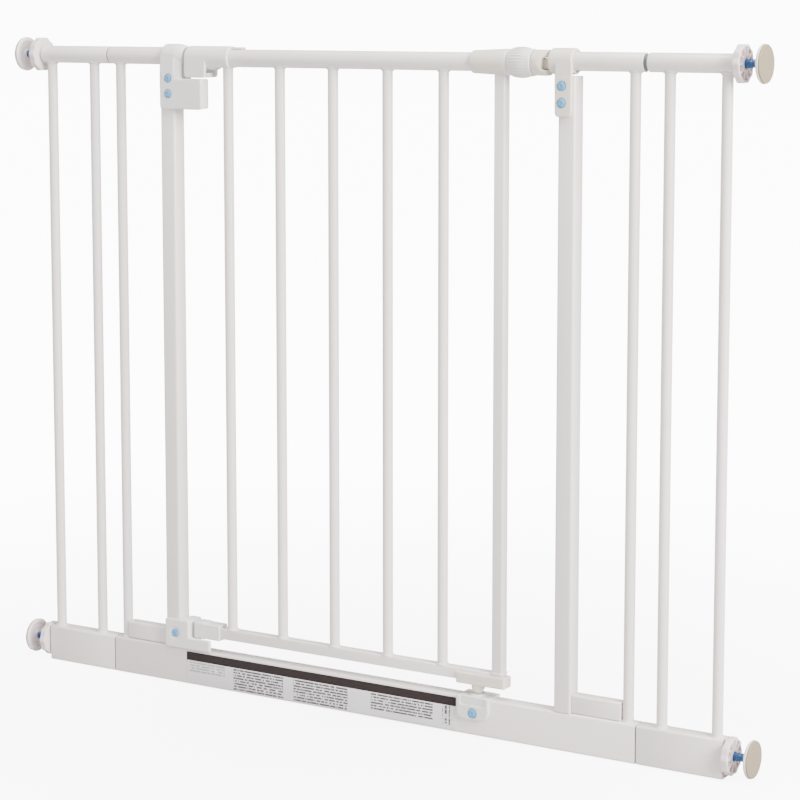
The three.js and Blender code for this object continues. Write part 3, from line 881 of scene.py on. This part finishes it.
forms = Shape().rod(13.4, -228.7, -169.5, "X", (0, 0, DOOR_Z), lip=1.6)
for near, far in ((-13.4, -9.2), (9.2, 13.4)):
    front_plate(forms, -228.7, -199.7, 703, 716, 4, near, far)
    side_profile(forms, [(near, 709), (far, 709), (far, DOOR_Z), (near, DOOR_Z)], -228.7, -199.7)
top_slab(forms, -228.7, -202, -13, 13, 2, 712, 722)
top_slab(forms, -175, -154, -4, 4, 1.5, 734.5, 737.6, lip=0.4)
tools = Shape().rod(TUBE_HOLE, -240, -140, "X", (0, 0, DOOR_Z))
top_slab(tools, -190.6, -140, -7.5, 7.5, 1, 700, 722, lip=0.1)
top_slab(tools, -226, -196, -8.6, 8.6, 1, 690, 711.6, lip=0.1)
moulding("slide_handle_moulding", forms, tools, latch_white, "handle", ["handle_sleeve"])
forms = Shape()
top_slab(forms, -210.5, -198.5, -8.5, 1.5, 2, 703.2, 708.6, lip=1.0)
moulding("release_button_moulding", forms, None, latch_white, "release_button", ["release_button"], voxel=0.35)

# %% [markdown]
# ## Blue screw caps
# The same kind of press-in cap covers every screw: a low dome with a dimple in its middle. One Geometry Nodes
# tree puts a cap on each point of a small mesh, and each point carries the radius of its own cap.

# %% Screw caps

CAPS = [(*place, -14.3, 4.6) for place in LATCH_CAPS]  # across, height, front and radius
CAPS += [(*place, -14.3, 4.9) for place in HINGE_CAPS]
CAPS += [(*CATCH_CAP, -13.3, 4.4), (*SOCKET_CAP, -13.6, 5.2)]

cap_shape = Shape()
dome = [(0, -0.55, 1), (0.22, -0.55), (0.32, -0.85), (0.62, -0.8), (0.9, -0.3), (1.0, 0.5), (0, 0.5, 1)]
cap_shape.turn(softened([(r, d * 1.6, *mark) for r, d, *mark in dome], 0.12, 4), "Y", (0, 0, 0), 40)
cap_seed = bpy.data.objects.new("screw_cap_shape", cap_shape.mesh("screw_cap_shape"))
cap_seed.data.materials.append(cap_blue)

points = bpy.data.meshes.new("cap_points")
points.from_pydata([(x * MM, y * MM, z * MM) for x, z, y, _ in CAPS], [], [])
radii = points.attributes.new("cap_radius", "FLOAT", "POINT")
radii.data.foreach_set("value", [radius for *_, radius in CAPS])
cap_tree = Tree("screw_caps", {"Cap size": 1.0})
cap_mesh = cap_tree.add("GeometryNodeObjectInfo", None, {"Object": cap_seed, "As Instance": True}, out=4)
own_radius = cap_tree.add("GeometryNodeInputNamedAttribute", {"data_type": "FLOAT"}, {"Name": "cap_radius"})
wide = cap_tree.sum("MULTIPLY", own_radius, cap_tree.size("Cap size"))
scale = cap_tree.add("ShaderNodeCombineXYZ", None, {"X": wide, "Y": 1.0, "Z": wide})
placed = cap_tree.add(
    "GeometryNodeInstanceOnPoints",
    None,
    {0: cap_tree.given.outputs[0], "Instance": cap_mesh, "Scale": scale},
)
cap_tree.end(placed, cap_blue)
caps = cap_tree.grow("screw_caps_blue", points)
cap_nodes = ["latch_screw_cap_1", "latch_screw_cap_2", "hinge_screw_cap_1", "hinge_screw_cap_2"]
cap_nodes += ["catch_screw_cap", "socket_screw_cap"]
fit("screw_caps_blue", caps, cap_blue, "gate", cap_nodes)
bpy.data.objects.remove(cap_seed, do_unlink=True)

# %% [markdown]
# ## Hinge head
# At the top of the hinge a tapered collar closes over the door's tube. A ribbed knob turns on the shank of a
# ring, and the ring's slot holds the tongue of the hinge clip on a pin. The ribs repeat round the knob, so
# Geometry Nodes sets them out.

# %% Collar

profile = [(10.25, 140.4), (12.2, 140.4), (12.7, 152), (14.1, 181), (13.7, 185), (10.25, 185)]
collar = Shape().turn(softened(profile, 0.9, 4), "X", (0, 0, DOOR_Z), 80)
fit("hinge_collar_moulding", collar, hinge_cream, "door", ["hinge_collar"], sharp=50)

# %% Adjusting knob with ribs

knob_outline = [(8.3, 185.4), (14.2, 185.4), (15.1, 190), (15.5, 199), (14.8, 206), (14.2, 212.4), (8.3, 212.4)]
knob = Shape().turn(softened(knob_outline, 1.2, 5), "X", (0, 0, DOOR_Z), 96)
rib = Shape()
rib_line = [(186.5, 14.4), (190, 15.8), (195, 16.3), (199, 16.4), (203, 16.0), (208, 14.6)]
rib_section = [(-0.75, -1.6), (0.75, -1.6), (0.62, -0.25), (0, 0), (-0.62, -0.25)]
rib_rings = [[(d, across, r + below) for across, below in rib_section] for d, r in rib_line]
rib.skin(rib_rings, wrap=False, cap_ends=True)
rib_seed = bpy.data.objects.new("knob_rib", rib.mesh("knob_rib"))
knob_tree = Tree("knob_ribs", {"Ribs": 30})
line = knob_tree.add("GeometryNodeMeshLine", None, {"Count": knob_tree.size("Ribs"), "Offset": (0, 0, 0)})
turn = knob_tree.sum("DIVIDE", 2 * math.pi, knob_tree.size("Ribs"))
angle = knob_tree.sum("MULTIPLY", knob_tree.add("GeometryNodeInputIndex"), turn)
spin = knob_tree.add("ShaderNodeCombineXYZ", None, {"X": angle})
rib_mesh = knob_tree.add("GeometryNodeObjectInfo", None, {"Object": rib_seed, "As Instance": True}, out=4)
ribs = knob_tree.add("GeometryNodeInstanceOnPoints", None, {0: line, "Instance": rib_mesh, "Rotation": spin})
lifted = knob_tree.add("GeometryNodeTransform", None, {0: ribs, "Translation": (0, 0, DOOR_Z * MM)})
both = knob_tree.group.nodes.new("GeometryNodeJoinGeometry")
knob_tree.group.links.new(lifted, both.inputs[0])
knob_tree.group.links.new(knob_tree.given.outputs[0], both.inputs[0])
knob_tree.end(both.outputs[0], hinge_cream)
ribbed = knob_tree.grow("adjusting_knob_ribbed", knob.mesh("knob_core"))
fit("adjusting_knob_ribbed", ribbed, latch_white, "adjusting_knob", ["adjusting_knob"], 45)
bpy.data.objects.remove(rib_seed, do_unlink=True)

# %% Clevis ring and pin

forms = Shape().rod(8.0, 160, 214, "X", (0, 0, DOOR_Z))
head = []
for k in range(25):
    across = 212.8 + 18.2 * k / 24
    half = math.sqrt(13.5**2 - (across - PIN_X) ** 2)
    ease = 13.6 - 1.2 * (1 - min(1, k / 2, (24 - k) / 2)) ** 2
    circle = [(ease * math.cos(a), DOOR_Z + ease * math.sin(a)) for a in round_angles(72)]
    head.append([(across, max(-half, min(half, y)), z) for y, z in circle])
forms.skin(head, wrap=False, cap_ends=True)
tools = Shape()
tools.beam(leaning_slab(-4.1, 30, 6.1), -4.3, 22, "Y", lip=0.1)
tools.beam(leaning_slab(6.6, 30, 6.3), -22, 2, "Y", lip=0.1)
tools.rod(2.0, -15, 22, "Z", (PIN_X, 0, DOOR_Z), lip=0.1, turn_by=stem_turn)
moulding("hinge_ring_moulding", forms, tools, hinge_cream, "door", ["hinge_clevis"], voxel=0.45)
pin = Shape().rod(1.75, -10.5, 11.5, "Z", (PIN_X, 0, DOOR_Z), lip=0.3, turn_by=stem_turn)
fit("hinge_pin_turned", pin, spindle_blue, "door", ["hinge_pin"])

# %% [markdown]
# ## Corners
# Each corner has a handwheel, a threaded spindle and a pad. Turning the wheel drives the spindle and its pad
# against the wall. The wheel has a scalloped rim and a ring of pockets in its outer face, and the thread is a
# helix: both repeat by rule.

# %% Handwheel shape

LOBES = 10
LOBE_RISE = 0.7
WHEEL_R = 19.3  # halfway up the scallops
WHEEL_ENDS = (440.6, 448.3)
HUB_R = 8.0
WHEEL_BORE = 5.1
POCKET_NEAR, POCKET_FAR = 8.8, 16.6
POCKET_DEPTH = 5.4


def wheel_shapes(s, z):
    """A scalloped rim and a hub towards the tube, and the tools that cut the bore and the pockets."""
    rim = []
    for a in round_angles(LOBES * 12):
        r = WHEEL_R + LOBE_RISE * math.cos(LOBES * a)
        rim.append(Vector((r * math.cos(a), r * math.sin(a))))
    forms = Shape().beam(rim, *mirrored(s, *WHEEL_ENDS), "X", (0, 0, z), lip=0.9)
    forms.rod(HUB_R, *mirrored(s, 439.2, 445), "X", (0, 0, z), lip=0.6)
    tools = Shape().rod(WHEEL_BORE, *mirrored(s, 430, 470), "X", (0, 0, z))
    outer = WHEEL_ENDS[1]
    spread = math.pi / LOBES
    for i in range(LOBES):
        middle = 2 * math.pi * (i + 0.5) / LOBES
        far = [(POCKET_FAR, middle + spread * t * 0.8) for t in (-1, -0.5, 0, 0.5, 1)]
        near = [(POCKET_NEAR, middle + spread * t * 0.66) for t in (1, 0, -1)]
        pocket = [(r * math.cos(a), r * math.sin(a)) for r, a in far + near]
        depth = mirrored(s, outer - POCKET_DEPTH, outer + 5)
        tools.beam(softened(pocket, 1.2, 3), *depth, "X", (0, 0, z), lip=0.1)
    return forms, tools


# %% Thread, pads and the four corners

thread_tree = Tree("spindle_thread", {"Turns": 19.0, "Pitch": 0.004, "Radius": 0.0041, "Ridge": 0.0007})
helix = thread_tree.add(
    "GeometryNodeCurveSpiral",
    None,
    {
        "Resolution": 24,
        "Rotations": thread_tree.size("Turns"),
        "Start Radius": thread_tree.size("Radius"),
        "End Radius": thread_tree.size("Radius"),
        "Height": thread_tree.sum("MULTIPLY", thread_tree.size("Turns"), thread_tree.size("Pitch")),
    },
)
ridge = thread_tree.add(
    "GeometryNodeCurvePrimitiveCircle", None, {"Resolution": 8, "Radius": thread_tree.size("Ridge")}
)
wound = thread_tree.add("GeometryNodeCurveToMesh", None, {0: helix, 1: ridge, "Fill Caps": True})
merged = thread_tree.group.nodes.new("GeometryNodeJoinGeometry")
laid = thread_tree.add("GeometryNodeTransform", None, {0: wound, "Rotation": (0, math.pi / 2, 0)})
moved = thread_tree.add("GeometryNodeTransform", None, {0: laid, "Translation": (0.3865, 0, 0)})
thread_tree.group.links.new(moved, merged.inputs[0])
thread_tree.group.links.new(thread_tree.given.outputs[0], merged.inputs[0])
thread_tree.end(merged.outputs[0], spindle_blue)


SPINDLE_R = 4.1
SPINDLE_ENDS = (385.2, 464.6)
# Profiles of the pad, as (radius, distance from the gate's middle). The cup's back is dished round its hub.
PAD_CUP = [(0, 465), (5.6, 465), (6.4, 466.8), (13.4, 466.8), (15.8, 465.1), (18.6, 465)]
PAD_CUP += [(19.9, 466.2), (19.9, 467.4), (19.6, 468.1), (0, 468.1)]
PAD_FACE = [(0, 468.3), (19.5, 468.3), (19.5, 469.4), (19.0, 470), (0, 470)]


def pad_shape(profile, s, z, radius):
    """Turns a pad's profile round the spindle's axis. Its points on the axis stay sharp."""
    placed = [(r, s * d, 1) if r == 0 else (r, s * d) for r, d in profile]
    return Shape().turn(softened(placed, radius, 4), "X", (0, 0, z), 96)


def corner(name, s, z):
    """The handwheel, spindle and pad of one corner."""
    forms, tools = wheel_shapes(s, z)
    wheel = name + "_wheel"
    fine = {"voxel": 0.45, "rounds": 2, "keep": 0.45}
    moulding(name + "_handwheel", forms, tools, wheel_pink, wheel, [wheel], **fine)
    core = Shape().rod(SPINDLE_R, *SPINDLE_ENDS, "X", lip=0.6)
    mesh = thread_tree.grow(name + "_thread", core.mesh("core"))
    place = Matrix.Translation((0, 0, z * MM)) @ (Matrix.Rotation(math.pi, 4, "Z") if s < 0 else Matrix())
    mesh.transform(place)
    spindle = name + "_spindle"
    fit(name + "_threaded_spindle", mesh, spindle_blue, spindle, [spindle], sharp=180)
    cup = pad_shape(PAD_CUP, s, z, 0.5)
    fit(name + "_pad_cup_moulding", cup, wheel_pink, spindle, [name + "_pad_cup"])
    face = pad_shape(PAD_FACE, s, z, 0.4)
    fit(name + "_pad_face_rubber", face, pad_rubber, spindle, [name + "_pad_face"])


for side, s in SIDES:
    for level, z in (("top", FRAME_Z), ("bottom", PAD_LOW_Z)):
        corner(f"{side}_{level}", s, z)

# %% [markdown]
# ## Label
# The label is a thin film with rounded corners, a quarter of a millimetre proud of the rail.

# %% Label

film = Shape()
front_plate(film, *LABEL, 1.0, -10.5, -10.02, lip=0.1)
fit("rail_label_film", film, label_print, "gate", ["label"])

# %% [markdown]
# ## Floor and light
# A wide pale floor and a white surround, with one large soft light from the right, one overhead and a weak one
# from the left, as in a small studio. The floor and the surround glow for the camera only, so they look white
# without washing out the gate.

# %% Floor

SEEN_WHITE = 12.0  # what the camera sees as full white


def floor_finish():
    """Pale paper with a painted glow that only the camera sees: half white in the middle, full white a short
    way out.
    """
    finish = Finish("floor_pale")
    cloud = finish.noise(900, 3)
    grain = finish.noise(2, 2)
    colour = (cloud * 0.8 + grain * 0.2).blend(rgb(0.52, 0.52, 0.52), rgb(0.56, 0.56, 0.56))
    away = finish.node("ShaderNodeVectorMath", {"operation": "LENGTH"}, {0: finish.place}, out=1)
    seen = finish.node("ShaderNodeLightPath")
    # Painted glow: camera-only emission, dimmer near the middle and rising to full white about 1.5 m out.
    glow = (away / 3.0 + 0.5).maths("MINIMUM", 1.0) * seen
    normal = finish.bump(grain, 0.02, 0.2)
    fixed = {"Emission_Color": glow, "Emission_Strength": SEEN_WHITE}
    return finish.shade(colour, 0.75 + cloud * 0.1, normal, **fixed)


ground = bpy.data.meshes.new("floor")
reach = 14.0
sheet = [(-reach, -reach, 0), (reach, -reach, 0), (reach, reach, 0), (-reach, reach, 0)]
ground.from_pydata(sheet, [], [(0, 1, 2, 3)])
ground.materials.append(floor_finish())
floor = stand("floor", ground)
floor.location.z = -0.0005

# %% Lights


def soft_light(name, place, target, size, watts):
    """A round area light of this size in metres, turned to face its target."""
    light = bpy.data.lights.new(name, "AREA")
    light.shape = "DISK"
    light.size = size
    light.energy = watts
    lamp = stand(name, light)
    lamp.location = place
    lamp.rotation_euler = (Vector(target) - Vector(place)).to_track_quat("-Z", "Y").to_euler()


soft_light("key_right", (3.6, -0.9, 1.9), (0, 0, 0.4), 2.2, 450)
soft_light("overhead", (0.3, -0.2, 3.2), (0, 0, 0.4), 2.6, 170)
soft_light("fill_left", (-2.6, -2.6, 1.4), (0, 0, 0.4), 2.4, 40)

WORLD_LIGHT = 0.6  # how strongly the surround lights the gate
world = bpy.data.worlds.new("white_surround")
world.use_nodes = True
surround = Wire(world.node_tree)
strength = surround.node("ShaderNodeLightPath") * (SEEN_WHITE - WORLD_LIGHT) + WORLD_LIGHT
background = world.node_tree.nodes["Background"]
background.inputs["Color"].default_value = (1, 1, 1, 1)
world.node_tree.links.new(strength.socket, background.inputs["Strength"])
bpy.context.scene.world = world
print("lights placed")
